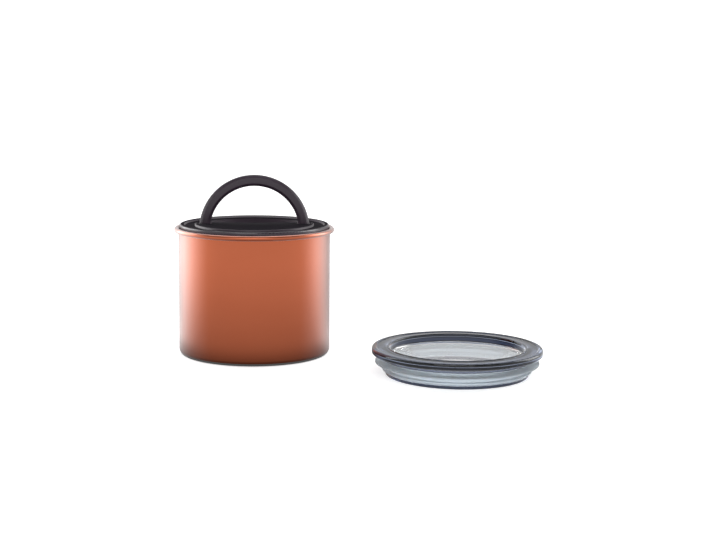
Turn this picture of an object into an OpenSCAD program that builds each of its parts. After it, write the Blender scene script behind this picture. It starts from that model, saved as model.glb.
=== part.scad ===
// Coffee canister with a press-down inner lid, its valve, and the clear outer lid beside it.
// Millimetres. Z is up, the canister stands on z = 0 and its axis is the Z axis.
// The inner lid is drawn at the canister's mouth with its handle upright and its valve open.

/* [Canister] */
// Outside diameter of the straight wall
body_od = 120.3; // [110:0.1:135]
// Height of the canister, from the floor to the top of the rolled rim
body_h = 101.6; // [85:0.1:180]
// Thickness of the drawn sheet
sheet = 0.6; // [0.4:0.1:1.2]
// Outside radius of the corner between the wall and the base
base_corner = 4.5; // [3:0.5:10]
// Width of the rolled rim, seen in section
rim_bead = 3.9; // [3:0.1:5]
// Mean radius of the stiffening groove pressed into the base
groove_at = 45; // [35:1:50]
// Height of the stiffening groove
groove_rise = 0.8; // [0.4:0.1:1.2]
// Radius of the groove, seen in section
groove_section = 2.4; // [1.6:0.1:4]

/* [Inner lid] */
// Gap all round between the inner lid and the canister wall
lid_gap = 0.4; // [0.3:0.1:1]
// Height of the inner lid above the canister's rim, as it sits in the mouth
lid_rise = 2.5; // [0:0.1:10]
// Wall of the lid's mouldings
lid_wall = 1.8; // [1.4:0.1:2.4]
// How far the floor moulding stays inside the edge of the top one
floor_inset = 0.4; // [0.2:0.1:1]
// Depth of the lid's skirt
skirt_h = 20; // [19:0.5:26]
// Width of the raised edge round the lid
edge_w = 2.8; // [2:0.1:5]
// Rounding of the raised edge
edge_round = 1.2; // [0.5:0.1:1.4]
// Depth of the shallow ring inside the raised edge
ring_drop = 1.4; // [0.8:0.1:2]
// Height of the front deck above the raised edge
deck_rise = 0.3; // [0:0.1:1.5]
// Chamfer round the front deck
deck_chamfer = 0.6; // [0.3:0.1:1]
// Width of the lip between the handle's well and the shallow ring
well_lip = 1.4; // [1:0.1:3]
// Height of the floor moulding's inner collar
collar_h = 6; // [4:0.5:7]
// Height of the stiffening ribs on the floor moulding
rib_h = 3; // [2:0.1:4]
// Count of the stiffening ribs
rib_count = 6; // [4:2:10]

/* [Gasket] */
// Depth of the groove that the gasket sits in
gasket_groove = 2.4; // [2:0.1:3]
// Height of the gasket's band
gasket_h = 7.8; // [6:0.1:9]
// Thickness of the gasket's band
gasket_band = 1.2; // [0.8:0.1:1.6]
// Thickness of a sealing lip at its root
lip_root = 1.4; // [0.8:0.1:2]
// Thickness of a sealing lip at its edge
lip_tip = 0.5; // [0.3:0.1:0.8]
// How far a sealing lip leans up
lip_lean = 0.8; // [0.4:0.1:1.5]
// Height of the lower lip above the band's lower edge
lip_at = 0.6; // [0.4:0.1:1.2]
// Height between the two sealing lips
lip_pitch = 3.7; // [2:0.1:3.8]
// Gap between the sealing lips and the canister wall
lip_gap = 0.08; // [0.05:0.01:0.3]

/* [Handle] */
// Outside radius of the arch
handle_r = 43.8; // [38:0.1:46]
// Width of the arch's band, seen from the front
handle_band = 8.6; // [7:0.1:12]
// Thickness of the arch, from front to back
handle_t = 8; // [6:0.1:8.6]
// Bevel along the arch's four edges
handle_bevel = 2.1; // [1:0.1:2.8]
// Depth of the pivot below the raised edge of the lid
pivot_drop = 5.2; // [4.8:0.1:6.5]
// Gap between the legs and the walls of their slots
handle_gap = 0.7; // [0.5:0.1:1.5]
// Gap between the arch's outside and the round wall of its well
well_gap = 2.1; // [1:0.1:3]
// Side of the square stub that turns the shaft
stub_side = 3.4; // [2.5:0.1:3.6]
// Length of the square stub
stub_l = 8; // [5:0.5:12]

/* [Valve] */
// Diameter of the cam shaft
shaft_d = 5.6; // [5:0.1:6]
// Room between the shaft and the bridge behind it
shaft_room = 0.3; // [0.2:0.1:1]
// Width of the cam
cam_w = 8; // [5:0.5:9]
// How far the cam pushes the valve open
valve_lift = 2; // [1:0.1:2.5]
// Height of the cam's shallow side over the shaft's centre
cam_low = 3.2; // [3:0.1:3.4]
// Radius of the cam's nose
cam_nose = 1.5; // [1:0.1:2]
// Outside radius of the valve's turret
turret_r = 8.4; // [8:0.1:9.4]
// Gap between the turret and the notch in the bridge
turret_gap = 0.3; // [0.2:0.1:1]
// Count of air slots in the turret
slot_count = 5; // [3:1:7]
// Width of an air slot
slot_w = 1.4; // [1:0.1:1.8]
// Height of the sill under an air slot
slot_sill = 1; // [0.5:0.1:2]
// Diameter of the valve stem
stem_d = 4; // [3:0.1:4.4]
// Diameter of the stem's neck, which carries the disc and the cap
neck_d = 2.8; // [2:0.1:2.8]
// Diameter of the stem's head
head_d = 10; // [8.8:0.1:11]
// Thickness of the stem's head
head_t = 1.6; // [1.2:0.1:2]
// Height of the stem's guide above the floor moulding
guide_rise = 0.8; // [0.5:0.1:1]
// Wire of the valve spring
spring_wire = 0.8; // [0.5:0.1:0.9]
// Mean radius of the valve spring
spring_r = 3.3; // [3:0.1:3.8]
// Turns of the valve spring
spring_turns = 5; // [3:0.5:5.5]
// Radius of the air passage round the stem's guide
passage_r = 9; // [7.5:0.1:10]
// Width of the raised seat round the air passage
seat_w = 1.2; // [0.8:0.1:2]
// Height of the raised seat
seat_h = 0.6; // [0.4:0.1:1]
// How far the soft disc reaches past the seat
disc_over = 1.8; // [1:0.1:3]
// Thickness of the soft disc
disc_t = 1.6; // [1.2:0.1:2.5]
// Diameter of the cap that holds the disc
cap_d = 12; // [9:0.5:14]
// Thickness of the cap
cap_t = 3; // [2.5:0.1:4]
// Thickness of the cap under the stem's neck
cap_skin = 0.7; // [0.5:0.1:1.2]
// Chamfer round the cap
cap_chamfer = 1.2; // [0.5:0.1:1.5]

/* [Outer lid] */
// Place of the outer lid to the right of the canister
outer_x = 152.5; // [140:0.1:220]
// Place of the outer lid in front of the canister
outer_y = -85.7; // [-120:0.1:0]
// How far the flange reaches past the canister's rolled rim
flange_over = 1.1; // [0.5:0.1:5]
// Height of the whole lid
outer_h = 21; // [19:0.1:26]
// Height of the flange's outer wall
flange_h = 5; // [4.5:0.1:8]
// Rounding of the flange's top edge
flange_round = 1.9; // [1:0.1:1.95]
// Depth of the flange's top face below the two edges that frame it
top_sink = 0.4; // [0.2:0.1:0.8]
// Fall of the flange's top face towards its outer edge
top_fall = 0.4; // [0:0.1:0.8]
// Wall of the clear moulding
clear_wall = 2; // [1.6:0.1:2.6]
// Gap between the plug wall and the canister's bore, which the seal fills
plug_gap = 6.5; // [5.5:0.1:9]
// Depth of the recess in the top
recess_depth = 6; // [4:0.1:7]
// Height between the flange's lower edge and the ledge
ledge_drop = 2; // [1:0.1:2.5]
// Reach of the ledge above the seal
ledge_reach = 3.6; // [2.4:0.1:4]
// Thickness of the ledge above the seal
ledge_t = 1.8; // [1.2:0.1:2]
// Reach of the bottom ring below the seal
foot_reach = 1.1; // [0.8:0.1:2]
// Height of the bottom ring
foot_h = 2.4; // [2:0.1:3.5]
// Thickness of the seal's band
seal_band = 1.5; // [1:0.1:2]
// Reach of the wide fin past the canister's bore, so that it wipes the wall
fin_squeeze = 2.4; // [0.5:0.1:3]
// Difference in radius between the wide fin and the narrow one
fin_step = 5.4; // [2:0.1:6]
// Thickness of a fin at its rounded edge
fin_t = 1; // [0.8:0.1:1.6]
// Height of the band that shows above the wide fin, and of the one below the narrow fin
band_edge = 0.8; // [0.3:0.1:1.2]
// Thickness of the wide fin where it leaves the band
wide_root = 2.6; // [2:0.1:3]
// How far the wide fin's edge droops below the middle of its root
wide_droop = 0.5; // [0:0.1:1.2]
// Thickness of the narrow fin where it leaves the band
narrow_root = 2.4; // [1:0.1:2.8]

/* [Hidden] */

// Facets of a full turn, and of the small rounds
round_fn = 128;
small_fn = 32;
// Running clearance of the shaft and the stem, on the radius
run_gap = 0.05;
// Clearance between pieces that are fixed to each other
fit_gap = 0.05;
// Overshoot of a cut past the surface that it opens
over = 1;

// Canister
body_r = body_od / 2;
bore_r = body_r - sheet;
bead_r = rim_bead / 2;
bead_at = bore_r + bead_r;
bead_z = body_h - bead_r;
// The rolled edge stops short of the wall between these two angles
curl_from = 184;
curl_to = 236;

// Inner lid: heights are counted from the top of its raised edge
lid_z = body_h + lid_rise;
lid_r = bore_r - lid_gap;
ring_r = lid_r - edge_w;
pivot_z = -pivot_drop;
shaft_r = shaft_d / 2;
well_r = handle_r + well_gap;
deck_r = well_r + well_lip;
well_z = pivot_z - handle_t / 2 - handle_gap;
bridge_y = shaft_r + shaft_room + lid_wall;
leg_in = handle_r - handle_band;
// The folding arch is narrower where it passes the bridge's upper edge than at its pivot
bridge_reach = norm([bridge_y, deck_rise - pivot_z]);
slot_in = sqrt(leg_in * leg_in - bridge_reach * bridge_reach) - handle_gap;
slot_front = -handle_t / 2 - handle_gap;
shoulder_z = -skirt_h + gasket_h + fit_gap;
skirt_r = lid_r - gasket_groove;
skirt_in = skirt_r - lid_wall;
chamber_r = lid_r - lid_wall;

// Floor moulding, just under the skirt
floor_z = -skirt_h - fit_gap;
floor_r = lid_r - floor_inset;
collar_r = skirt_in - fit_gap;

// Valve
cam_high = cam_low + valve_lift;
turret_in = turret_r - lid_wall;
turret_z = -lid_wall;
head_z = pivot_z - cam_high - run_gap;
stem_r = stem_d / 2;
neck_r = neck_d / 2;
guide_r = stem_r + run_gap;
guide_out = guide_r + lid_wall;
guide_h = lid_wall + guide_rise;
guide_z = floor_z - lid_wall + guide_h;
seat_z = floor_z - lid_wall - seat_h;
disc_r = passage_r + seat_w + disc_over;
disc_z = seat_z - fit_gap - valve_lift;
spring_lo = guide_z + 2 * fit_gap;
spring_hi = head_z - head_t - 2 * fit_gap;

// Outer lid
flange_r = bead_at + bead_r + flange_over;
plug_r = bore_r - plug_gap;
recess_r = plug_r - clear_wall;
recess_z = outer_h - recess_depth;
ledge_z = outer_h - flange_h - ledge_t - ledge_drop;
seal_lo = foot_h + fit_gap;
seal_hi = ledge_z - fit_gap;
seal_in = plug_r + fit_gap;
seal_out = seal_in + seal_band;
fin_r = bore_r + fin_squeeze;

// Draws its children at the inner lid's place
module at_lid() {
    translate([0, 0, lid_z]) children();
}

// Draws its children at the outer lid's place
module at_outer_lid() {
    translate([outer_x, outer_y, 0]) children();
}

// Lays a cylinder along X, centred on the YZ plane
module along_x(r, l) {
    rotate([0, 90, 0]) cylinder(r = r, h = l, center = true, $fn = round_fn);
}

// Half section of a round box: a flat base, a rounded corner and a straight wall
module box_section(r, low, high, corner) {
    translate([0, low]) square([r - corner, high - low]);
    translate([0, low + corner]) square([r, high - low - corner]);
    translate([r - corner, low + corner]) circle(corner, $fn = small_fn * 2);
}

// Canister

module groove_circle(r) {
    translate([groove_at, groove_rise - groove_section]) circle(r, $fn = small_fn * 2);
}

module curl_section() {
    reach = 2 * bead_r;
    translate([bead_at, bead_z]) difference() {
        circle(bead_r, $fn = small_fn * 2);
        circle(bead_r - sheet, $fn = small_fn * 2);
        polygon([
            [0, 0],
            [reach * cos(curl_from), reach * sin(curl_from)],
            [reach * cos(curl_to), reach * sin(curl_to)]
        ]);
    }
}

module canister_body() {
    color("#b5633f") rotate_extrude($fn = round_fn) {
        difference() {
            union() {
                difference() {
                    box_section(body_r, 0, bead_z, base_corner);
                    box_section(bore_r, sheet, bead_z + over, base_corner - sheet);
                }
                intersection() {
                    groove_circle(groove_section + sheet);
                    translate([0, sheet / 2]) square([body_r, body_h]);
                }
            }
            groove_circle(groove_section);
        }
        curl_section();
    }
}

// Inner lid

// Outside of the top moulding: skirt, gasket shoulder, raised edge and shallow ring
module top_section() {
    square_h = -shoulder_z - edge_round;
    translate([0, -skirt_h]) square([skirt_r, skirt_h - ring_drop]);
    difference() {
        union() {
            translate([0, shoulder_z]) square([lid_r, square_h]);
            translate([0, shoulder_z]) square([lid_r - edge_round, -shoulder_z]);
            translate([lid_r - edge_round, -edge_round]) circle(edge_round, $fn = small_fn * 2);
        }
        polygon([
            [0, -ring_drop],
            [ring_r - ring_drop, -ring_drop],
            [ring_r, over],
            [0, over]
        ]);
    }
}

// The room that the folded handle and its legs need, grown by a wall where it is used as a shell
module well_room(wall) {
    low = well_z - wall;
    high = deck_rise + over;
    intersection() {
        translate([0, 0, low]) cylinder(r = well_r + wall, h = high - low, $fn = round_fn);
        union() {
            translate([-lid_r, bridge_y - wall, low]) cube([2 * lid_r, lid_r, high - low]);
            for (side = [0, 1]) mirror([side, 0, 0])
                translate([slot_in - wall, slot_front - wall, low])
                    cube([lid_r, lid_r, high - low]);
        }
    }
}

// The raised front deck, whose back edge bridges the two legs of the handle
module front_deck() {
    intersection() {
        rotate_extrude($fn = round_fn) polygon([
            [0, -ring_drop - over],
            [deck_r, -ring_drop - over],
            [deck_r, deck_rise - deck_chamfer],
            [deck_r - deck_chamfer, deck_rise],
            [0, deck_rise]
        ]);
        translate([-lid_r, -2 * lid_r + bridge_y, -skirt_h]) cube([2 * lid_r, 2 * lid_r, 2 * skirt_h]);
    }
}

// The hollow inside the top moulding, open from below
module top_hollow() {
    low = -skirt_h - over;
    translate([0, 0, low])
        cylinder(r = skirt_in, h = well_z - lid_wall - low, $fn = round_fn);
    difference() {
        union() {
            translate([0, 0, low])
                cylinder(r = skirt_in, h = -ring_drop - lid_wall - low, $fn = round_fn);
            translate([0, 0, shoulder_z + lid_wall])
                cylinder(r = chamber_r, h = -ring_drop - 2 * lid_wall - shoulder_z, $fn = round_fn);
            translate([0, 0, low])
                cylinder(r = deck_r - lid_wall, h = deck_rise - lid_wall - low, $fn = round_fn);
        }
        well_room(lid_wall);
    }
}

// The turret's bore, and the air slots in the half of it that faces the handle's well
module turret_cuts() {
    slot_low = well_z + slot_sill;
    slot_high = turret_z - lid_wall;
    fan = 110;
    translate([0, 0, -skirt_h - over])
        cylinder(r = turret_in, h = slot_high + skirt_h + over, $fn = round_fn);
    for (i = [0:slot_count - 1])
        rotate([0, 0, 90 - fan / 2 + fan * i / (slot_count - 1)])
            translate([0, -slot_w / 2, slot_low])
                cube([turret_r + over, slot_w, slot_high - slot_low]);
}

// The shaft's bearings in the top moulding, open from below so that the shaft can be put in
module bearing_cut() {
    r = shaft_r + run_gap;
    span = slot_in + fit_gap;
    translate([0, 0, pivot_z]) along_x(r, 2 * span);
    for (side = [-1, 1])
        translate([side * (span - lid_wall / 2), 0, (pivot_z - skirt_h) / 2])
            cube([lid_wall + 2 * fit_gap, 2 * r, skirt_h + pivot_z], center = true);
}

module lid_top() {
    notch = turret_r + turret_gap;
    color("#1f1a21") at_lid() difference() {
        union() {
            difference() {
                union() {
                    rotate_extrude($fn = round_fn) top_section();
                    front_deck();
                }
                well_room(0);
            }
            translate([0, 0, well_z - lid_wall])
                cylinder(r = turret_r, h = turret_z - well_z + lid_wall, $fn = round_fn);
        }
        top_hollow();
        turret_cuts();
        bearing_cut();
        translate([-notch, bridge_y - lid_wall + turret_gap, turret_z]) cube([2 * notch, lid_wall, lid_wall + over]);
    }
}

// Half-round saddles that hold the shaft up in its bearings
module saddle_posts() {
    w = lid_wall - 2 * fit_gap;
    r = shaft_r + run_gap;
    for (side = [-1, 1])
        translate([side * (slot_in - lid_wall / 2), 0, 0]) difference() {
            translate([-w / 2, -shaft_r, floor_z - lid_wall / 2])
                cube([w, 2 * shaft_r, pivot_z - floor_z + lid_wall / 2 - 2 * run_gap]);
            translate([0, 0, pivot_z]) along_x(r, 2 * w);
        }
}

module lid_floor() {
    spokes = 3;
    color("#1c181e") at_lid() {
        difference() {
            union() {
                rotate_extrude($fn = round_fn) difference() {
                    union() {
                        box_section(floor_r, floor_z - lid_wall, floor_z, lid_wall / 2);
                        translate([collar_r - lid_wall, floor_z - lid_wall / 2])
                            square([lid_wall, collar_h + lid_wall / 2]);
                        translate([passage_r, seat_z]) square([seat_w, seat_h + lid_wall]);
                        translate([passage_r, floor_z - lid_wall / 2]) square([lid_wall, rib_h]);
                    }
                    translate([-over, seat_z - over]) square([passage_r + over, skirt_h]);
                }
                for (i = [0:spokes - 1])
                    rotate([0, 0, 90 + 360 * i / spokes])
                        translate([0, -lid_wall / 2, floor_z - lid_wall])
                            cube([passage_r + lid_wall / 2, lid_wall, lid_wall]);
                translate([0, 0, floor_z - lid_wall]) cylinder(r = guide_out, h = guide_h, $fn = round_fn);
                for (i = [0:rib_count - 1])
                    rotate([0, 0, 360 * (i + 0.5) / rib_count])
                        translate([passage_r + lid_wall / 2, -lid_wall / 2, floor_z - lid_wall / 2])
                            cube([collar_r - passage_r - lid_wall, lid_wall, rib_h]);
            }
            translate([0, 0, floor_z - lid_wall - over])
                cylinder(r = guide_r, h = guide_h + 2 * over, $fn = round_fn);
        }
        saddle_posts();
    }
}

// A gasket lip in half section: it leaves the band at z, leans up and narrows towards the wall
module lip_section(z, tip_r) {
    root = skirt_r + fit_gap + gasket_band / 2;
    low = z + lip_lean;
    polygon([
        [root, z],
        [tip_r - lip_tip / 4, low],
        [tip_r, low + lip_tip / 2],
        [tip_r - lip_tip / 4, low + lip_tip],
        [root, z + lip_root]
    ]);
}

module lid_gasket() {
    low = floor_z + fit_gap;
    high = shoulder_z - fit_gap;
    tip_r = bore_r - lip_gap;
    color("#55545c") at_lid() rotate_extrude($fn = round_fn) {
        translate([skirt_r + fit_gap, low]) square([gasket_band, high - low]);
        lip_section(low + lip_at, tip_r);
        lip_section(low + lip_at + lip_pitch, tip_r);
    }
}

// Handle

// The arch's section: a bar with bevelled edges, from its inner to its outer radius
module arch_section() {
    b = handle_bevel;
    t = handle_t / 2;
    polygon([
        [leg_in, -t + b], [leg_in + b, -t], [handle_r - b, -t], [handle_r, -t + b],
        [handle_r, t - b], [handle_r - b, t], [leg_in + b, t], [leg_in, t - b]
    ]);
}

// Half of that section, turned about the pivot for the rounded end of a leg
module leg_end_section() {
    b = handle_bevel;
    t = handle_t / 2;
    polygon([
        [0, leg_in], [t - b, leg_in], [t, leg_in + b],
        [t, handle_r - b], [t - b, handle_r], [0, handle_r]
    ]);
}

module handle() {
    color("#2a232c") at_lid() translate([0, 0, pivot_z]) {
        intersection() {
            rotate([90, 0, 0]) rotate_extrude($fn = round_fn) arch_section();
            translate([-2 * handle_r, -handle_t, 0]) cube([4 * handle_r, 2 * handle_t, 2 * handle_r]);
        }
        for (side = [0, 1]) mirror([side, 0, 0]) {
            rotate([0, 90, 0]) rotate_extrude($fn = round_fn) leg_end_section();
            translate([leg_in - stub_l, -stub_side / 2, -stub_side / 2])
                cube([stub_l + handle_bevel, stub_side, stub_side]);
        }
    }
}

// Valve

// Height of the cam's flank over the shaft's centre, at an angle from +Y towards -Z, and its slope
function flank(a) = cam_low + valve_lift * a / 90;
flank_slope = valve_lift / (PI / 2);
flank_end = [-flank_slope, -cam_high + cam_nose];

// A flat follower rises evenly on this outline, because each point carries the slope across it
cam_points = concat(
    [[0, shaft_r]],
    [for (a = [0:6:90])
        [flank(a) * cos(a) - flank_slope * sin(a), -flank(a) * sin(a) - flank_slope * cos(a)]],
    [for (a = [100:10:180]) flank_end + cam_nose * [cos(a), -sin(a)]],
    [[-shaft_r, 0]]
);

module cam_shaft() {
    l = 2 * (slot_in - fit_gap);
    socket = stub_side + 2 * fit_gap;
    depth = stub_l + slot_in - leg_in;
    color("#3a333d") at_lid() translate([0, 0, pivot_z]) {
        difference() {
            along_x(shaft_r, l);
            for (side = [-1, 1])
                translate([side * (l / 2 - depth / 2 + over / 2), 0, 0])
                    cube([depth + over, socket, socket], center = true);
        }
        rotate([90, 0, 90]) linear_extrude(cam_w, center = true) union() {
            polygon(cam_points);
            circle(shaft_r, $fn = round_fn);
        }
    }
}

module valve_stem() {
    neck_h = disc_t + cap_t - cap_skin;
    color("#d8d4cc") at_lid() {
        translate([0, 0, head_z - head_t]) cylinder(d = head_d, h = head_t, $fn = round_fn);
        translate([0, 0, disc_z]) cylinder(r = stem_r, h = head_z - head_t / 2 - disc_z, $fn = round_fn);
        translate([0, 0, disc_z - neck_h]) cylinder(r = neck_r, h = neck_h + over, $fn = round_fn);
    }
}

// One unbroken coil whose end turns lie closer than its middle ones
module valve_spring() {
    wire = spring_wire / 2;
    sides = 6;
    steps = 18;
    count = round(spring_turns * steps);
    rise = spring_hi - spring_lo - spring_wire;
    points = [
        for (i = [0:count], s = [0:sides - 1])
            let (turn = 360 * i / steps, a = 360 * s / sides, r = spring_r + wire * cos(a))
            [r * cos(turn), r * sin(turn), spring_lo + wire + rise * i / count + wire * sin(a)]
    ];
    skin = [
        for (i = [0:count - 1], s = [0:sides - 1], half = [0, 1])
            let (a = i * sides + s, b = i * sides + (s + 1) % sides)
            half == 0 ? [a, a + sides, b] : [b, a + sides, b + sides]
    ];
    caps = [
        for (s = [1:sides - 2], far = [0, 1])
            far == 0 ? [0, s, s + 1] : count * sides * [1, 1, 1] + [0, s + 1, s]
    ];
    color("#c9cacc") at_lid() polyhedron(points, concat(skin, caps));
}

module valve_disc() {
    hole = neck_r + fit_gap;
    color("#9a9aa4") at_lid() rotate_extrude($fn = round_fn) polygon([
        [hole, disc_z], [disc_r, disc_z - fit_gap], [disc_r, disc_z - disc_t / 2],
        [cap_d / 2, disc_z - disc_t], [hole, disc_z - disc_t]
    ]);
}

module valve_cap() {
    top = disc_z - disc_t - fit_gap;
    low = top - cap_t;
    r = cap_d / 2;
    color("#2a262c") at_lid() rotate_extrude($fn = round_fn) difference() {
        polygon([[0, low], [r - cap_chamfer, low], [r, low + cap_chamfer], [r, top], [0, top]]);
        translate([-over, low + cap_skin]) square([neck_r + fit_gap + over, cap_t]);
    }
}

// Outer lid

module outer_lid_section() {
    flange_z = outer_h - flange_h;
    hem = clear_wall / 2;
    rounded = outer_h - flange_round;
    top_in = outer_h - top_sink;
    top_out = top_in - top_fall;
    // Recessed window, and the plug wall down to the table
    translate([0, recess_z - clear_wall]) square([recess_r + clear_wall / 2, clear_wall]);
    translate([recess_r, 0]) square([clear_wall, outer_h - hem]);
    translate([recess_r + hem, outer_h - hem]) circle(hem, $fn = small_fn);
    // Top and outer wall of the flange
    polygon([
        [recess_r + hem, top_in - clear_wall],
        [flange_r - flange_round, top_out - clear_wall],
        [flange_r - flange_round, top_out],
        [recess_r + hem, top_in]
    ]);
    difference() {
        union() {
            translate([flange_r - flange_round, rounded]) circle(flange_round, $fn = small_fn * 2);
            translate([flange_r - flange_round, flange_z + hem]) square([flange_round, rounded - flange_z - hem]);
            translate([flange_r - clear_wall, flange_z + hem]) square([clear_wall, rounded - flange_z - hem]);
        }
        translate([recess_r, 0]) square([flange_r - clear_wall - recess_r, outer_h - clear_wall]);
    }
    translate([flange_r - hem, flange_z + hem]) circle(hem, $fn = small_fn);
    // Ledge over the seal and ring below it
    translate([plug_r - hem, ledge_z]) square([ledge_reach + hem, ledge_t]);
    translate([plug_r - hem, 0]) square([foot_reach + hem, foot_h]);
}

module outer_lid() {
    color("#4a505c", 0.55) at_outer_lid() rotate_extrude($fn = round_fn) outer_lid_section();
}

// A soft fin in half section: it leaves the band at a height and droops to a rounded edge
module fin_section(root_z, root_h, droop, edge_r) {
    root = seal_out - seal_band / 2;
    e = fin_t / 2;
    edge_z = root_z + root_h / 2 - droop;
    polygon([[root, root_z], [edge_r - e, edge_z - e], [edge_r - e, edge_z + e], [root, root_z + root_h]]);
    translate([edge_r - e, edge_z]) circle(e, $fn = small_fn);
}

module outer_lid_seal() {
    color("#c3cfdd") at_outer_lid() rotate_extrude($fn = round_fn) {
        translate([seal_in, seal_lo]) square([seal_band, seal_hi - seal_lo]);
        fin_section(seal_hi - band_edge - wide_root, wide_root, wide_droop, fin_r);
        fin_section(seal_lo + band_edge, narrow_root, 0, fin_r - fin_step);
    }
}

canister_body();
lid_top();
lid_floor();
lid_gasket();
handle();
cam_shaft();
valve_stem();
valve_spring();
valve_disc();
valve_cap();
outer_lid();
outer_lid_seal();
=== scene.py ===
import math

import bmesh
import bpy
from mathutils import Matrix, Vector


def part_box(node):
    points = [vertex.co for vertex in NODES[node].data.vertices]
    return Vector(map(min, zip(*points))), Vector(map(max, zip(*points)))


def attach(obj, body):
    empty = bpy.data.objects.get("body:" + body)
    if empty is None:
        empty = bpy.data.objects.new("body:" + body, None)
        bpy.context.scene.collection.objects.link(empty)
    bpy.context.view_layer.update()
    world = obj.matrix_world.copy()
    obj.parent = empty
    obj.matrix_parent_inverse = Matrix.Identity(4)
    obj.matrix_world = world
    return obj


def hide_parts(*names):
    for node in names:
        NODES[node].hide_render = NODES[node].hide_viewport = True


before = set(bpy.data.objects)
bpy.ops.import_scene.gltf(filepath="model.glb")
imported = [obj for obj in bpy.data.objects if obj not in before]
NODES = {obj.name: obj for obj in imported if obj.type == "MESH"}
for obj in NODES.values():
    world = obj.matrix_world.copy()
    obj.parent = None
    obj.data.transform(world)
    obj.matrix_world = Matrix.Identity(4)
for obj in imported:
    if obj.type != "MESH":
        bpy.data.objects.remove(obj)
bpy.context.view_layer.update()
MM = 0.001

# The sizes of the pieces are in millimetres and the angles in degrees, and what the frame gives is
# taken from it
FIT_GAP = 0.05

# Canister
low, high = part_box("canister_body")
BODY_H = high.z / MM
SHEET = 0.6
BEAD_R = 1.95
BORE_R = high.x / MM - 2 * BEAD_R
BODY_R = BORE_R + SHEET
BASE_CORNER = 4.5
GROOVE_AT = 45
GROOVE_RISE = 0.8
GROOVE_SECTION = 2.4
CURL_END = -124  # where the rim's curl ends, from straight out
WALL_STEP = 20  # height between the wall's rings
COPPER_REACH = 0.7  # how far the copper goes down inside the rim

# Outer lid
low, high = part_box("outer_lid")
COVER_AT = ((low.x + high.x) / 2, (low.y + high.y) / 2)
FLANGE_R = (high.x - low.x) / 2 / MM
COVER_H = high.z / MM
COVER_WALL = 2.0
FLANGE_H = 5.0
FLANGE_ROUND = 1.9
TOP_SINK = 0.4  # depth of the gutter at the hem
TOP_FALL = 0.4  # how much deeper it is at the rim
TOP_LEAN = 0.3  # how far its two sides lean
PLUG_GAP = 6.5
PLUG_R = BORE_R - PLUG_GAP
RECESS_R = PLUG_R - COVER_WALL
RECESS_DEPTH = 6.0
LEDGE_T = 1.8
LEDGE_DROP = 2.0
LEDGE_REACH = 3.6
FOOT_H = 2.4
FOOT_REACH = 1.1
CLEAR_EDGE = 0.5  # how far the clear window ends inside the recess's wall
CLEAR_SLACK = 0.1  # what lies this little outside the plug wall still counts to it

# Radii of the outer lid's corners
COVER_BEND = 1.0
COVER_LIP = 0.9
COVER_EDGE = 0.5
COVER_SOFT = 0.3
FOOT_INSIDE = 0.6
FOOT_OUTSIDE = 0.8
RIM_ROUND = 1.2
HEM_ROUND = 0.4

# Seal of the outer lid
low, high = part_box("outer_lid_seal")
FIN_R = (high.x - low.x) / 2 / MM
SEAL_LOW = low.z / MM
SEAL_HIGH = high.z / MM
SEAL_BAND = 1.5
FIN_STEP = 5.4  # how much less the narrow fin reaches than the wide one
FIN_T = 1.0
BAND_EDGE = 0.8  # height of the band above the wide fin and below the narrow one
WIDE_ROOT = 2.6
WIDE_DROOP = 0.5
NARROW_ROOT = 2.4

# Radii of the seal's corners
FIN_EDGE = 0.45
WIDE_FILLET = 0.6
NARROW_OVER = 0.5
NARROW_UNDER = 0.4
BAND_OUTSIDE = 0.3
BAND_INSIDE = 0.2

# Gasket of the inner lid
low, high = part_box("lid_gasket")
GASKET_LOW = low.z / MM
GASKET_HIGH = high.z / MM
LIP_R = high.x / MM
GASKET_BAND = 1.2
LID_GAP = 0.4
GASKET_GROOVE = 2.4
GASKET_IN = BORE_R - LID_GAP - GASKET_GROOVE + FIT_GAP
LIP_AT = 0.6
LIP_PITCH = 3.7
LIP_LEAN = 0.8
LIP_TIP = 0.5  # thickness at the edge
LIP_ROOT = 1.4  # thickness at the band

# Radii of the gasket's corners
GASKET_CORNER = 0.3
LIP_EDGE = 0.2
LIP_UNDER = 0.25
LIP_OVER = 0.4

# Handle
low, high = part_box("handle")
HANDLE_R = high.x / MM
HANDLE_BAND = 8.6
HANDLE_T = (high.y - low.y) / MM
HANDLE_BEVEL = 2.1
HANDLE_SOFT = 0.7
ARCH_STEP = 1.5  # the turn of each step along the arch
END_STEP = 9  # the same round the end of a leg
PIVOT_Z = high.z / MM - HANDLE_R
STUB_L = 8.0
STUB_SIDE = 3.4
STUB_ROUND = 0.3

# Top of the inner lid
low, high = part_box("lid_top")
LID_TOP = high.z / MM
LID_EDGE = 1.8
LID_ROUND = 0.25
GLOSSY_TILT = (0.2, 0.97)  # how far up a face of the outer edge's rounding looks, from 0 to 1
FLAT_TILT = 0.9
MATTE_SHADE_DEPTH = 3.3  # flat faces down to here are matt, with their colour painted darker as shade
FLAT_ANGLE = 0.4  # faces that meet at less are joined
EDGE_ANGLE = 40  # faces that meet at more get a rounded edge

# Limits for meshes
CORNER_STEP = 15  # the turn of each step of a rounded corner
SMOOTH_ANGLE = 35  # an edge sharper than this isn't shaded smooth
SAME_POINT = 1e-7  # points as near as this are joined, in metres
SAME_POINT_CAD = 2e-6  # the same for the frame's mesh
ON_AXIS = 1e-6


# Mesh building

def add_object(name, data):
    """Puts a new object in the scene."""
    made = bpy.data.objects.new(name, data)
    bpy.context.scene.collection.objects.link(made)
    return made


def smooth_mesh(name, data):
    """Turns a bmesh into a smooth-shaded mesh."""
    mesh = bpy.data.meshes.new(name)
    data.to_mesh(mesh)
    data.free()
    mesh.shade_smooth()
    return mesh


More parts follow.
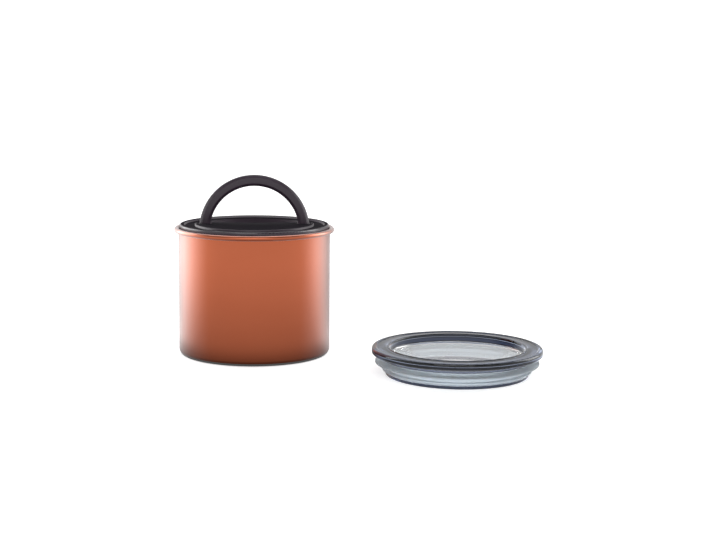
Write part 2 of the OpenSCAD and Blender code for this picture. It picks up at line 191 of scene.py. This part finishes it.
def fillet(corners):
    """Points of a closed outline whose corners, each (x, y, radius), are rounded with arcs."""
    points = []
    count = len(corners)
    for i, (x, y, radius) in enumerate(corners):
        corner = Vector((x, y))
        if radius <= 0:
            points.append((x, y))
            continue
        to_last = (Vector(corners[i - 1][:2]) - corner).normalized()
        to_next = (Vector(corners[(i + 1) % count][:2]) - corner).normalized()
        half = to_last.angle(to_next) / 2
        middle = corner + (to_last + to_next).normalized() * radius / math.sin(half)
        start = corner + to_last * radius / math.tan(half) - middle
        end = corner + to_next * radius / math.tan(half) - middle
        turn = start.angle_signed(end)
        steps = max(2, round(abs(math.degrees(turn)) / CORNER_STEP))
        for k in range(steps + 1):
            points.append(tuple(middle + Matrix.Rotation(-turn * k / steps, 2) @ start))
    return points


def finish_mesh(name, data, body, materials):
    """Turns a bmesh into a piece that rides on a body."""
    bmesh.ops.remove_doubles(data, verts=data.verts, dist=SAME_POINT)
    bmesh.ops.recalc_face_normals(data, faces=data.faces)
    mesh = smooth_mesh(name, data)
    mesh.set_sharp_from_angle(angle=math.radians(SMOOTH_ANGLE))
    piece = add_object(name, mesh)
    for material in materials:
        mesh.materials.append(material)
    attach(piece, body)
    return piece


def revolve(outline, segments=256, centre=(0, 0), shade=None):
    """A bmesh of a closed outline of (radius, height), in millimetres, turned about a vertical axis at
    centre, in metres. shade gives the material index of the faces between two points of the outline."""
    data = bmesh.new()
    rings = []
    for r, z in outline:
        if r < ON_AXIS:
            rings.append([data.verts.new((centre[0], centre[1], z * MM))] * segments)
            continue
        ring = []
        for k in range(segments):
            angle = 2 * math.pi * k / segments
            x = centre[0] + r * MM * math.cos(angle)
            y = centre[1] + r * MM * math.sin(angle)
            ring.append(data.verts.new((x, y, z * MM)))
        rings.append(ring)
    count = len(outline)
    for i in range(count):
        after = (i + 1) % count
        near, far = rings[i], rings[after]
        for k in range(segments):
            side = (k + 1) % segments
            corners = list(dict.fromkeys((near[k], near[side], far[side], far[k])))
            if len(corners) > 2:
                face = data.faces.new(corners)
                if shade:
                    face.material_index = shade(*outline[i], *outline[after])
    return data


def ribbon(path, thickness):
    """The closed outline of a sheet of even thickness whose middle follows a path."""
    left, right = [], []
    for i, point in enumerate(path):
        before = Vector(path[max(i - 1, 0)])
        after = Vector(path[min(i + 1, len(path) - 1)])
        along = (after - before).normalized()
        side = Vector((-along.y, along.x)) * thickness / 2
        left.append(tuple(Vector(point) + side))
        right.append(tuple(Vector(point) - side))
    return right + left[::-1]


def arc(centre, radius, start, end, degrees):
    """Points along an arc, from one angle to another in steps of about so many degrees."""
    steps = max(2, round(abs(end - start) / degrees))
    angles = [math.radians(start + (end - start) * k / steps) for k in range(steps + 1)]
    x, y = centre
    return [(x + radius * math.cos(angle), y + radius * math.sin(angle)) for angle in angles]


# Materials

def new_material(name):
    """A material with its nodes, its links and its shader."""
    material = bpy.data.materials.new(name)
    material.use_nodes = True
    nodes = material.node_tree.nodes
    return material, nodes, material.node_tree.links, nodes["Principled BSDF"]


def noise_cells(nodes, links, cells, detail, stretch=(1, 1, 1)):
    """Noise over the object's own space: so many cells a metre, times the stretch along each axis."""
    place = nodes.new("ShaderNodeTexCoord")
    mapping = nodes.new("ShaderNodeMapping")
    mapping.inputs["Scale"].default_value = stretch
    noise = nodes.new("ShaderNodeTexNoise")
    noise.inputs["Scale"].default_value = cells
    noise.inputs["Detail"].default_value = detail
    links.new(place.outputs["Object"], mapping.inputs["Vector"])
    links.new(mapping.outputs["Vector"], noise.inputs["Vector"])
    return noise.outputs["Fac"]


def ramp(nodes, links, value, stops):
    """A colour ramp over a value; each stop is (position, colour)."""
    node = nodes.new("ShaderNodeValToRGB")
    elements = node.color_ramp.elements
    while len(elements) < len(stops):
        elements.new(0.5)
    for element, (position, colour) in zip(elements, stops):
        element.position = position
        element.color = (*colour, 1)
    links.new(value, node.inputs["Fac"])
    return node.outputs["Color"]


def grey(level):
    return (level, level, level)


def map_range(nodes, links, value, before, after):
    """Maps a value from one span to another, and holds it at the ends."""
    node = nodes.new("ShaderNodeMapRange")
    node.inputs["From Min"].default_value, node.inputs["From Max"].default_value = before
    node.inputs["To Min"].default_value, node.inputs["To Max"].default_value = after
    links.new(value, node.inputs["Value"])
    return node.outputs["Result"]


def calculate(nodes, links, operation, result, *others):
    """Math nodes in a row, each over the last result and the next value, a socket or a number."""
    for other in others:
        node = nodes.new("ShaderNodeMath")
        node.operation = operation
        for socket, value in zip(node.inputs, (result, other)):
            if isinstance(value, (int, float)):
                socket.default_value = value
            else:
                links.new(value, socket)
        result = node.outputs["Value"]
    return result


def bump(nodes, links, shader, value, strength, distance):
    """Gives a shader's surface the relief of a value that is as high as the distance, in metres."""
    node = nodes.new("ShaderNodeBump")
    node.inputs["Strength"].default_value = strength
    node.inputs["Distance"].default_value = distance
    links.new(value, node.inputs["Height"])
    links.new(node.outputs["Normal"], shader.inputs["Normal"])


def radial_tangent(nodes, links, shader):
    """Makes a shader's highlights stretch as brushing round the Z axis does."""
    tangent = nodes.new("ShaderNodeTangent")
    tangent.direction_type = "RADIAL"
    tangent.axis = "Z"
    links.new(tangent.outputs["Tangent"], shader.inputs["Tangent"])


def brushed_metal(name, dark, light, rough, anisotropy, lacquer=0.0, sheen=0.0):
    """Metal brushed round the Z axis: fine rings of noise in colour, roughness and bump, with slow clouds
    in the colour. A lacquer's gloss grows as the surface turns away."""
    material, nodes, links, shader = new_material(name)
    lines = noise_cells(nodes, links, cells=1.0, detail=2.0, stretch=(14, 14, 4200))
    cloud = noise_cells(nodes, links, cells=1.0, detail=5.0, stretch=(22, 22, 60))
    faint_lines = calculate(nodes, links, "MULTIPLY", lines, 0.2)
    mixed = calculate(nodes, links, "ADD", faint_lines, cloud)
    colour = ramp(nodes, links, mixed, [(0.35, dark), (0.8, light)])
    links.new(colour, shader.inputs["Base Color"])
    roughness = ramp(nodes, links, lines, [(0.3, grey(rough - 0.005)), (0.7, grey(rough + 0.005))])
    links.new(roughness, shader.inputs["Roughness"])
    shader.inputs["Metallic"].default_value = 1.0
    shader.inputs["Anisotropic"].default_value = anisotropy
    if lacquer:
        facing = nodes.new("ShaderNodeLayerWeight")
        facing.inputs["Blend"].default_value = 0.5
        gloss = map_range(nodes, links, facing.outputs["Facing"], (0.22, 0.6), (0.1 * lacquer, lacquer))
        links.new(gloss, shader.inputs["Coat Weight"])
        shader.inputs["Coat Roughness"].default_value = 0.18
        shader.inputs["Coat IOR"].default_value = 2.2
    shader.inputs["Sheen Weight"].default_value = sheen
    shader.inputs["Sheen Roughness"].default_value = 0.35
    shader.inputs["Sheen Tint"].default_value = (1.0, 0.96, 0.97, 1)
    radial_tangent(nodes, links, shader)
    bump(nodes, links, shader, lines, strength=0.002, distance=0.00001)
    return material


def moulded_plastic(name, dark, light, rough, specular=0.5):
    """Spark-textured moulding: a fine even grain with slow clouds in colour and gloss."""
    material, nodes, links, shader = new_material(name)
    grain = noise_cells(nodes, links, cells=5200, detail=2.0)
    cloud = noise_cells(nodes, links, cells=60, detail=5.0)
    colour = ramp(nodes, links, cloud, [(0.3, dark), (0.75, light)])
    links.new(colour, shader.inputs["Base Color"])
    roughness = ramp(nodes, links, cloud, [(0.3, grey(rough - 0.04)), (0.7, grey(rough + 0.06))])
    links.new(roughness, shader.inputs["Roughness"])
    shader.inputs["Specular IOR Level"].default_value = specular
    bump(nodes, links, shader, grain, strength=0.25, distance=0.00004)
    return material


def soft_silicone(name, dark, light, rough, transmission, scatter):
    """Cast silicone: milky, with a faint mottle and a skin that is a little uneven."""
    material, nodes, links, shader = new_material(name)
    cloud = noise_cells(nodes, links, cells=140, detail=4.0)
    skin = noise_cells(nodes, links, cells=1600, detail=3.0)
    colour = ramp(nodes, links, cloud, [(0.3, dark), (0.7, light)])
    links.new(colour, shader.inputs["Base Color"])
    roughness = ramp(nodes, links, skin, [(0.3, grey(rough - 0.05)), (0.7, grey(rough + 0.05))])
    links.new(roughness, shader.inputs["Roughness"])
    shader.inputs["IOR"].default_value = 1.41
    shader.inputs["Transmission Weight"].default_value = transmission
    shader.inputs["Subsurface Weight"].default_value = scatter
    shader.inputs["Subsurface Radius"].default_value = (0.004, 0.0045, 0.005)
    shader.inputs["Subsurface Scale"].default_value = 1.0
    bump(nodes, links, shader, skin, strength=0.15, distance=0.00005)
    return material


def smoke_clear(name, dark, light, alpha, specular):
    """Clear moulding with a smoke tint, and the faint waviness of a moulded skin."""
    material, nodes, links, shader = new_material(name)
    cloud = noise_cells(nodes, links, cells=35, detail=2.0)
    colour = ramp(nodes, links, cloud, [(0.3, dark), (0.7, light)])
    links.new(colour, shader.inputs["Base Color"])
    shader.inputs["Roughness"].default_value = 0.05
    shader.inputs["IOR"].default_value = 1.5
    shader.inputs["Specular IOR Level"].default_value = specular
    shader.inputs["Alpha"].default_value = alpha
    shader.inputs["Transmission Weight"].default_value = 1.0
    bump(nodes, links, shader, cloud, strength=0.04, distance=0.0004)
    return material


COPPER = brushed_metal(
    "copper_brushed", (0.47, 0.110, 0.044), (0.48, 0.115, 0.047), rough=0.28, anisotropy=0.45,
    lacquer=1.0, sheen=0.8
)
BARE_STEEL = brushed_metal(
    "bare_steel", (0.66, 0.65, 0.64), (0.74, 0.73, 0.72), rough=0.45, anisotropy=0.5
)
SPRING = brushed_metal(
    "spring_wire", (0.50, 0.50, 0.51), (0.60, 0.60, 0.61), rough=0.25, anisotropy=0.0
)
BLACK = moulded_plastic(
    "black_moulding", (0.028, 0.017, 0.028), (0.036, 0.022, 0.036), rough=0.36
)
# The same black plastic for flat faces near the top: matt, with its colour painted darker as shade
BLACK_MATTE_SHADED = moulded_plastic(
    "black_matte_shaded", (0.008, 0.006, 0.010), (0.011, 0.008, 0.013), rough=0.75, specular=0.06
)
BLACK_EDGE = moulded_plastic(
    "black_edge", (0.024, 0.015, 0.024), (0.030, 0.019, 0.030), rough=0.15, specular=1.0
)
PALE = moulded_plastic(
    "pale_moulding", (0.62, 0.60, 0.55), (0.70, 0.68, 0.63), rough=0.35
)
GREY_SILICONE = soft_silicone(
    "grey_silicone", (0.10, 0.10, 0.115), (0.13, 0.13, 0.15), rough=0.45, transmission=0.0, scatter=0.1
)
FROSTED = soft_silicone(
    "frosted_silicone", (0.80, 0.90, 1.0), (0.84, 0.93, 1.0), rough=0.45, transmission=0.75, scatter=0.35
)
# The flange, ledge, foot and the recess's wall: the real smoke tint, painted much darker than in the window
# as shade for the darkness inside thick clear edges
SMOKE_RING_SHADED = smoke_clear(
    "smoke_ring_shaded", (0.028, 0.038, 0.072), (0.036, 0.047, 0.086), alpha=1.0, specular=0.25
)
SMOKE_WINDOW = smoke_clear(
    "smoke_window", (0.92, 0.92, 0.94), (0.95, 0.95, 0.97), alpha=0.25, specular=0.5
)


# Pieces

def make_canister():
    """Drawn steel pot: one sheet from the middle of the base to the rolled rim."""
    middle = SHEET / 2
    bead_at = BORE_R + BEAD_R
    bead_z = BODY_H - BEAD_R
    corner = BASE_CORNER - middle
    wall = BODY_R - middle
    groove = GROOVE_SECTION + middle
    spread = math.degrees(math.acos((groove - GROOVE_RISE) / groove))
    path = [(0, middle)]
    path += arc((GROOVE_AT, middle + GROOVE_RISE - groove), groove, 90 + spread, 90 - spread, degrees=8)
    path += arc((wall - corner, middle + corner), corner, -90, 0, degrees=7)
    path += [(wall, z) for z in range(WALL_STEP, int(bead_z), WALL_STEP)]
    path += arc((bead_at, bead_z), BEAD_R - middle, 180, CURL_END, degrees=10)
    outline = ribbon(path, SHEET)

    def shade(r0, z0, r1, z1):
        inside = max(r0, r1) < wall and min(z0, z1) >= middle
        return 1 if inside and z1 < BODY_H - COPPER_REACH else 0

    data = revolve(outline, segments=320, shade=shade)
    piece = finish_mesh("canister_shell", data, "canister", [COPPER, BARE_STEEL])
    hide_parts("canister_body")


def make_cover():
    """Outer lid: a window sunk in a hollow flange, over a plug wall with a ledge and a foot. The flange's
    top is a shallow gutter between its rounded outer edge and the hem round the window."""
    floor = COVER_H - RECESS_DEPTH
    under = floor - COVER_WALL
    flange = COVER_H - FLANGE_H
    ledge = flange - LEDGE_T - LEDGE_DROP
    hem = RECESS_R + COVER_WALL
    rim = FLANGE_R - 2 * FLANGE_ROUND
    gutter = COVER_H - TOP_SINK
    inside = COVER_H - COVER_WALL
    outline = fillet([
        (0, under, 0), (RECESS_R, under, COVER_BEND), (RECESS_R, FOOT_H, 0),
        (RECESS_R, 0, FOOT_INSIDE), (PLUG_R + FOOT_REACH, 0, FOOT_OUTSIDE),
        (PLUG_R + FOOT_REACH, FOOT_H, COVER_EDGE), (PLUG_R, FOOT_H, COVER_SOFT),
        (PLUG_R, ledge, COVER_SOFT), (PLUG_R + LEDGE_REACH, ledge, COVER_EDGE),
        (PLUG_R + LEDGE_REACH, ledge + LEDGE_T, COVER_EDGE), (PLUG_R, ledge + LEDGE_T, COVER_EDGE),
        (PLUG_R, inside - TOP_SINK, COVER_BEND),
        (FLANGE_R - COVER_WALL, inside - TOP_SINK - TOP_FALL, COVER_BEND),
        (FLANGE_R - COVER_WALL, flange, COVER_LIP), (FLANGE_R, flange, COVER_LIP),
        (FLANGE_R, COVER_H, FLANGE_ROUND), (rim, COVER_H, RIM_ROUND),
        (rim - TOP_LEAN, gutter - TOP_FALL, COVER_SOFT), (hem, gutter, COVER_SOFT),
        (hem - TOP_LEAN, COVER_H, HEM_ROUND), (RECESS_R, COVER_H, COVER_LIP),
        (RECESS_R, floor, COVER_LIP), (0, floor, 0)
    ])

    # Faces of the window and the plug wall are clear; the rest take the smoke tint that is painted darker
    # as shade
    def shade(r0, z0, r1, z1):
        window = max(r0, r1) < RECESS_R - CLEAR_EDGE
        plug = max(r0, r1) < PLUG_R + CLEAR_SLACK and FOOT_H <= min(z0, z1) and max(z0, z1) < floor
        return 1 if window or plug else 0

    data = revolve(outline, centre=COVER_AT, shade=shade)
    piece = finish_mesh("cover_moulding", data, "cover", [SMOKE_RING_SHADED, SMOKE_WINDOW])
    # The photo's wall shows no clear image of the outer lid, so mirror-like rays pass it and its seal by
    piece.visible_glossy = False
    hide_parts("outer_lid")


def make_seal():
    """Frosted ring with a wide fin above and a narrow one below, both with rounded edges."""
    inner = PLUG_R + FIT_GAP
    outer = inner + SEAL_BAND
    half = FIN_T / 2
    wide_root = SEAL_HIGH - BAND_EDGE - WIDE_ROOT / 2
    wide = wide_root - WIDE_DROOP
    narrow = SEAL_LOW + BAND_EDGE + NARROW_ROOT / 2
    outline = fillet([
        (inner, SEAL_LOW, BAND_INSIDE), (outer, SEAL_LOW, BAND_OUTSIDE),
        (outer, narrow - NARROW_ROOT / 2, NARROW_UNDER),
        (FIN_R - FIN_STEP, narrow - half, FIN_EDGE), (FIN_R - FIN_STEP, narrow + half, FIN_EDGE),
        (outer, narrow + NARROW_ROOT / 2, NARROW_OVER), (outer, wide_root - WIDE_ROOT / 2, WIDE_FILLET),
        (FIN_R, wide - half, FIN_EDGE), (FIN_R, wide + half, FIN_EDGE),
        (outer, wide_root + WIDE_ROOT / 2, WIDE_FILLET),
        (outer, SEAL_HIGH, BAND_OUTSIDE), (inner, SEAL_HIGH, BAND_INSIDE)
    ])
    data = revolve(outline, centre=COVER_AT)
    piece = finish_mesh("cover_seal", data, "cover", [FROSTED])
    piece.visible_glossy = False
    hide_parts("outer_lid_seal")


def make_gasket():
    """Soft ring whose two lips lean up and thin out towards the canister's wall."""
    root = GASKET_IN + GASKET_BAND
    outline = [(GASKET_IN, GASKET_LOW, GASKET_CORNER), (root, GASKET_LOW, GASKET_CORNER)]
    for lip in (LIP_AT, LIP_AT + LIP_PITCH):
        z = GASKET_LOW + lip
        tip = z + LIP_LEAN
        outline += [(root, z, LIP_UNDER), (LIP_R, tip, LIP_EDGE)]
        outline += [(LIP_R, tip + LIP_TIP, LIP_EDGE), (root, z + LIP_ROOT, LIP_OVER)]
    outline += [(root, GASKET_HIGH, GASKET_CORNER), (GASKET_IN, GASKET_HIGH, GASKET_CORNER)]
    data = revolve(fillet(outline))
    piece = finish_mesh("gasket_ring", data, "inner_lid", [GREY_SILICONE])
    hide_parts("lid_gasket")


def rounded_box(data, low, high, radius):
    """Adds a box with rounded edges to a bmesh; its corners are in millimetres."""
    middle = (Vector(low) + Vector(high)) / 2 * MM
    size = (Vector(high) - Vector(low)) * MM
    place = Matrix.Translation(middle) @ Matrix.Diagonal((*size, 1))
    made = bmesh.ops.create_cube(data, size=1.0, matrix=place)
    edges = list({edge for vert in made["verts"] for edge in vert.link_edges})
    bmesh.ops.bevel(data, geom=edges, offset=radius * MM, segments=2, affect="EDGES", clamp_overlap=True)


def make_handle():
    """Half-round arch of an eight-sided bar with softened edges. Its section runs once round: over the
    front of the arch, under one leg's rounded end, back over the rear and under the other end."""
    depth = HANDLE_T / 2
    inner = HANDLE_R - HANDLE_BAND
    half = fillet([
        (inner, 0, 0), (inner, depth - HANDLE_BEVEL, HANDLE_SOFT),
        (inner + HANDLE_BEVEL, depth, HANDLE_SOFT), (HANDLE_R - HANDLE_BEVEL, depth, HANDLE_SOFT),
        (HANDLE_R, depth - HANDLE_BEVEL, HANDLE_SOFT), (HANDLE_R, 0, 0)
    ])
    turns = [math.radians(ARCH_STEP * k) for k in range(round(180 / ARCH_STEP) + 1)]
    ends = [math.radians(END_STEP * k) for k in range(1, round(180 / END_STEP))]
    stations = [[(r * math.cos(a), -y, r * math.sin(a)) for r, y in half] for a in turns]
    stations += [[(-r, -y * math.cos(a), -y * math.sin(a)) for r, y in half] for a in ends]
    stations += [[(r * math.cos(a), y, r * math.sin(a)) for r, y in half] for a in reversed(turns)]
    stations += [[(r, -y * math.cos(a), -y * math.sin(a)) for r, y in half] for a in reversed(ends)]
    data = bmesh.new()
    rows = [[data.verts.new((x * MM, y * MM, (z + PIVOT_Z) * MM)) for x, y, z in row] for row in stations]
    for i, row in enumerate(rows):
        after = rows[(i + 1) % len(rows)]
        for k in range(len(row) - 1):
            data.faces.new((row[k], row[k + 1], after[k + 1], after[k]))
    bmesh.ops.remove_doubles(data, verts=data.verts, dist=SAME_POINT)
    side = STUB_SIDE / 2
    for sign in (-1, 1):
        x0, x1 = sorted((sign * (inner - STUB_L), sign * (inner + HANDLE_BEVEL)))
        rounded_box(data, (x0, -side, PIVOT_Z - side), (x1, side, PIVOT_Z + side), STUB_ROUND)
    piece = finish_mesh("handle_arch", data, "lid_handle", [BLACK])
    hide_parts("handle")


def make_lid():
    """The inner lid's top moulding: the frame's own mesh with its flat faces joined and its edges rounded.
    The rounding of its outer edge is glossy, and what lies flat near its top is matt, with its colour
    painted darker as shade."""
    data = bmesh.new()
    data.from_mesh(NODES["lid_top"].data)
    bmesh.ops.remove_doubles(data, verts=data.verts, dist=SAME_POINT_CAD)
    bmesh.ops.dissolve_limit(data, angle_limit=math.radians(FLAT_ANGLE), verts=data.verts, edges=data.edges)
    sharp = math.radians(EDGE_ANGLE)
    edges = [edge for edge in data.edges if edge.is_manifold and edge.calc_face_angle() > sharp]
    bmesh.ops.bevel(data, geom=edges, offset=LID_ROUND * MM, segments=2, affect="EDGES", clamp_overlap=True)
    finishes = [BLACK, BLACK_MATTE_SHADED, BLACK_EDGE]
    least, most = GLOSSY_TILT
    for face in data.faces:
        place = face.calc_center_median()
        rounding = place.xy.length > (BORE_R - LID_EDGE) * MM and least < face.normal.z < most
        # Flat faces near the top take the matt black whose colour is painted darker as shade
        flat = face.normal.z > FLAT_TILT and place.z > (LID_TOP - MATTE_SHADE_DEPTH) * MM
        face.material_index = 2 if rounding else 1 if flat else 0
    piece = finish_mesh("lid_moulding", data, "inner_lid", finishes)
    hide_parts("lid_top")


def dress_nodes():
    """Gives the nodes that stay as they are their finish."""
    finishes = {
        "lid_floor": BLACK, "cam_shaft": BLACK, "valve_cap": BLACK, "valve_stem": PALE,
        "valve_spring": SPRING, "valve_disc": GREY_SILICONE,
    }
    for name, material in finishes.items():
        mesh = NODES[name].data
        mesh.materials.clear()
        mesh.materials.append(material)


make_canister()
make_cover()
make_seal()
make_gasket()
make_handle()
make_lid()
dress_nodes()


# Stage, light and camera

FLOOR_GREY = 0.82


def floor_material():
    """White to the camera with the shadows kept, and white through clear plastic. Mirror-like rays see a
    floor that stands in for two soft boxes: brighter to both sides and dimmer behind the canister, with
    painted shade that deepens towards the canister and a painted contact shadow at its foot."""
    material, nodes, links, shader = new_material("floor_white")
    shader.inputs["Roughness"].default_value = 0.9
    shader.inputs["Specular IOR Level"].default_value = 0.0
    shader.inputs["Emission Color"].default_value = (1, 1, 1, 1)
    ray = nodes.new("ShaderNodeLightPath").outputs
    place = nodes.new("ShaderNodeTexCoord").outputs["Object"]
    length = nodes.new("ShaderNodeVectorMath")
    length.operation = "LENGTH"
    links.new(place, length.inputs[0])
    distance = length.outputs["Value"]
    turn = nodes.new("ShaderNodeTexGradient")
    turn.gradient_type = "RADIAL"
    links.new(place, turn.inputs["Vector"])
    # A full turn from the left, by the front (0.25), the right (0.5) and the back (0.75)
    around = ramp(nodes, links, turn.outputs["Fac"], [
        (0.0, grey(0.58)), (0.04, grey(0.42)), (0.10, grey(0.38)), (0.40, grey(0.37)), (0.47, grey(0.40)),
        (0.50, grey(0.50)), (0.54, grey(0.58)), (0.59, grey(0.42)), (0.64, grey(0.20)), (0.70, grey(0.18)),
        (0.78, grey(0.22)), (0.84, grey(0.48)), (0.90, grey(0.72)), (0.95, grey(0.72)), (1.0, grey(0.56))
    ])
    # Two distances from the canister's axis, in metres, and the levels there. The glow is painted darker
    # towards the canister as its shade on the floor, and darker still at its foot as a painted contact
    # shadow
    near_shade = map_range(nodes, links, distance, (0.06, 0.65), (1.35, 3.2))
    foot = map_range(nodes, links, distance, (0.05, 0.12), (0.1, 1.0))
    backdrop = map_range(nodes, links, distance, (0.8, 1.5), (0.0, 0.35))
    plain = map_range(nodes, links, distance, (0.8, 2.0), (0.6, 1.0))
    glow = calculate(nodes, links, "MULTIPLY", around, near_shade, foot)
    glow = calculate(nodes, links, "MAXIMUM", glow, backdrop)
    # A ray that has been through clear plastic doesn't see the glow
    direct = calculate(nodes, links, "LESS_THAN", ray["Transmission Depth"], 0.5)
    mirrored = calculate(nodes, links, "MULTIPLY", glow, ray["Is Glossy Ray"], direct)
    seen = calculate(nodes, links, "MULTIPLY", plain, ray["Is Camera Ray"])
    strength = calculate(nodes, links, "MAXIMUM", mirrored, seen, ray["Is Transmission Ray"])
    links.new(strength, shader.inputs["Emission Strength"])
    not_mirrored = calculate(nodes, links, "SUBTRACT", 1.0, ray["Is Glossy Ray"])
    colour = calculate(nodes, links, "MULTIPLY", not_mirrored, FLOOR_GREY)
    links.new(colour, shader.inputs["Base Color"])
    return material


def make_floor():
    """Pale floor that runs up into a backdrop in one sweep, in metres."""
    front, back, side, height, bend = -1.7, 2.7, 2.6, 1.7, 0.6
    path = [(front, 0.0), (back - bend, 0.0)]
    path += arc((back - bend, bend), bend, -90, 0, degrees=5)
    path.append((back, height))
    data = bmesh.new()
    rows = [[data.verts.new((x, y, z)) for x in (-side, side)] for y, z in path]
    for near, far in zip(rows, rows[1:]):
        data.faces.new((near[0], near[1], far[1], far[0]))
    mesh = smooth_mesh("floor", data)
    mesh.materials.append(floor_material())
    floor = add_object("floor", mesh)


def make_world():
    """A room that is bright around and dim overhead."""
    world = bpy.data.worlds.new("studio")
    bpy.context.scene.world = world
    world.use_nodes = True
    nodes, links = world.node_tree.nodes, world.node_tree.links
    place = nodes.new("ShaderNodeTexCoord")
    axes = nodes.new("ShaderNodeSeparateXYZ")
    links.new(place.outputs["Generated"], axes.inputs["Vector"])
    room = ramp(nodes, links, axes.outputs["Z"], [(0.3, grey(1.0)), (0.65, grey(0.16))])
    background = nodes["Background"]
    links.new(room, background.inputs["Color"])
    background.inputs["Strength"].default_value = 1.0


def soft_light(name, place, target, size, power):
    """A lamp turned to its target, in metres and watts. Neither the camera nor a ray through clear
    plastic sees it."""
    data = bpy.data.lights.new(name, "AREA")
    data.shape = "RECTANGLE"
    data.size, data.size_y = size
    data.energy = power
    lamp = add_object(name, data)
    lamp.location = place
    lamp.visible_camera = False
    lamp.visible_transmission = False
    toward = Vector(target) - Vector(place)
    lamp.rotation_euler = toward.to_track_quat("-Z", "Y").to_euler()


def make_camera():
    """The photo's view, 716 by 540 pixels, fitted to the outlines of the canister and the outer lid."""
    focal_px, width_px = 1530.0, 716.0
    place = (0, -1.211, 0.249)
    pitch, yaw, roll = (math.radians(angle) for angle in (8.55, 3.912, 0.503))
    data = bpy.data.cameras.new("camera")
    data.sensor_width = 36.0
    data.lens = focal_px / width_px * data.sensor_width
    camera = add_object("camera", data)
    forward = Vector((math.sin(yaw) * math.cos(pitch), math.cos(yaw) * math.cos(pitch), -math.sin(pitch)))
    right = Vector((math.cos(yaw), -math.sin(yaw), 0))
    up = right.cross(forward)
    turned_right = right * math.cos(roll) + up * math.sin(roll)
    turned_up = up * math.cos(roll) - right * math.sin(roll)
    axes = Matrix((turned_right, turned_up, -forward)).transposed().to_4x4()
    camera.matrix_world = Matrix.Translation(place) @ axes
    bpy.context.scene.camera = camera


make_floor()
make_world()
soft_light("left_panel", place=(-1.1, 0.62, 0.55), target=(0, 0, 0.2), size=(1.0, 1.1), power=9)
soft_light("right_panel", place=(1.2, 0.35, 0.55), target=(0, 0, 0.2), size=(0.7, 1.1), power=7)
soft_light("top_panel", place=(0.05, 0.7, 1.6), target=(0, -0.1, 0), size=(1.8, 0.9), power=11)
soft_light("front_panel", place=(-0.15, -1.5, 1.25), target=(0, 0, 0.08), size=(1.6, 0.8), power=9)
make_camera()
bpy.context.scene.view_settings.view_transform = "Standard"
